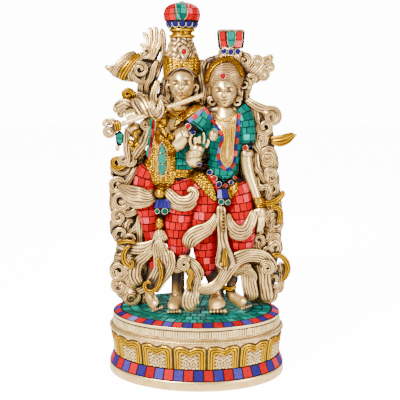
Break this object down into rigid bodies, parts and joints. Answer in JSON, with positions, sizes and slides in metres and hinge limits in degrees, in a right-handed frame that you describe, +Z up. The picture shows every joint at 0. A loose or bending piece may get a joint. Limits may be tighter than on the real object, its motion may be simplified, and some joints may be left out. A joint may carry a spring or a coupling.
{
  "type": "radha krishna statue",
  "caption": "Standing Krishna with a flute beside Radha, cast before pierced scrollwork, on an oval plinth with inlaid stone borders.",
  "frame": {"origin": "middle of the plinth's flat underside", "axes": "+Z up through the figures, -Y towards the viewer, +X towards Radha's side"},
  "size_m": [0.2716, 0.177, 0.5212],
  "materials": {
    "antique_brass": "pale cast brass with dark rubbed-in patina in the hollows",
    "coral_and_lapis": "coral and lapis chips in black mastic",
    "turquoise": "turquoise chips in dark mastic"
  },
  "bodies": {
    "root": {"plinth": "antique_brass", "lower_stone_border": "coral_and_lapis", "rim_stone_border": "coral_and_lapis", "turquoise_paving": "turquoise", "radha_krishna_group": "antique_brass"}
  },
  "joints": []
}
